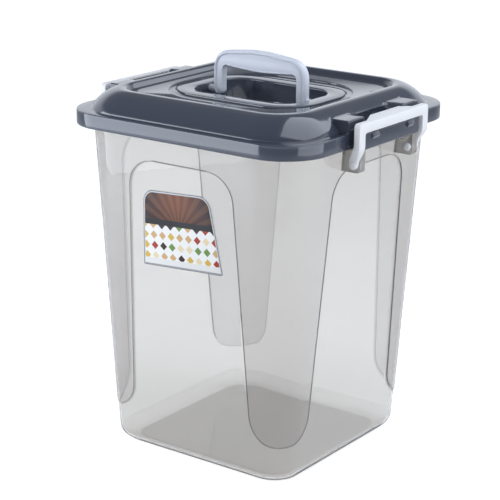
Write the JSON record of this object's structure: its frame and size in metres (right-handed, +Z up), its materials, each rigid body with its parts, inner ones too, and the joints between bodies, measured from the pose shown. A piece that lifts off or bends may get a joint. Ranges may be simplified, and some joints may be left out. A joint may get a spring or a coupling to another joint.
{
  "type": "kitchen storage container",
  "caption": "Tall square tapered see-through storage tub with a domed dark lid, side latches that swing down, a folding carry handle in a sunk pit and a front label.",
  "frame": {"origin": "centre of the flat base, where the container stands on the floor", "axes": "+Z up, +X across the front towards the right-hand latch, -Y out of the labelled front face"},
  "size_m": [0.323, 0.2946, 0.416],
  "materials": {
    "clear_plastic": "clear smoke-grey polypropylene",
    "dark_plastic": "glossy dark slate polypropylene",
    "grey_plastic": "satin pale grey polypropylene",
    "white_plastic": "satin near-white polypropylene",
    "printed_paper": "printed gloss sticker"
  },
  "bodies": {
    "container": {"tub": "clear_plastic", "lid": "dark_plastic", "front_label": "printed_paper"},
    "handle": {"carry_handle": "grey_plastic"},
    "right_latch": {"latch_right": "white_plastic"},
    "left_latch": {"latch_left": "white_plastic"}
  },
  "joints": [
    {"name": "right_latch_hinge", "type": "hinge", "parent": "container", "child": "right_latch", "pos_m": [0.1502, 0, 0.33], "axis": [0, 1, 0], "range_deg": [0, 175]},
    {"name": "left_latch_hinge", "type": "hinge", "parent": "container", "child": "left_latch", "pos_m": [-0.1502, 0, 0.33], "axis": [0, -1, 0], "range_deg": [0, 175]},
    {"name": "handle_hinge", "type": "hinge", "parent": "container", "child": "handle", "pos_m": [0, 0, 0.37], "axis": [1, 0, 0], "range_deg": [-75, 75]}
  ]
}
